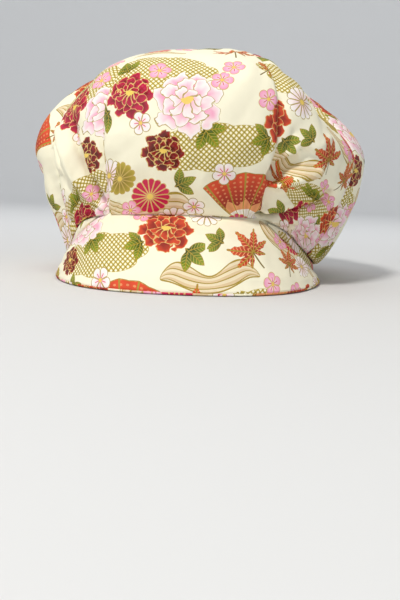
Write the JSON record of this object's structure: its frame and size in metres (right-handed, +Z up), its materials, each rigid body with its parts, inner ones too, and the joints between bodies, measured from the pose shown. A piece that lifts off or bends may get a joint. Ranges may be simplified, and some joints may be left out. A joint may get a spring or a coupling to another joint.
{
  "type": "baker boy cap",
  "caption": "Puffy baker boy cap in printed cotton: full crown panels gathered onto a narrow head band, with a soft curved peak.",
  "frame": {"origin": "middle of the footprint, on the surface that the cap stands on", "axes": "-Y the way the peak points, +Z up, +X to the right when seen from the front"},
  "size_m": [0.2292, 0.2698, 0.151],
  "materials": {
    "printed_cotton": "matt"
  },
  "bodies": {
    "root": {"crown_front": "printed_cotton", "crown_right_front": "printed_cotton", "crown_right_side": "printed_cotton", "crown_right_rear": "printed_cotton", "crown_back": "printed_cotton", "crown_left_rear": "printed_cotton", "crown_left_side": "printed_cotton", "crown_left_front": "printed_cotton", "head_band": "printed_cotton", "peak_upper": "printed_cotton", "peak_under": "printed_cotton"}
  },
  "joints": []
}
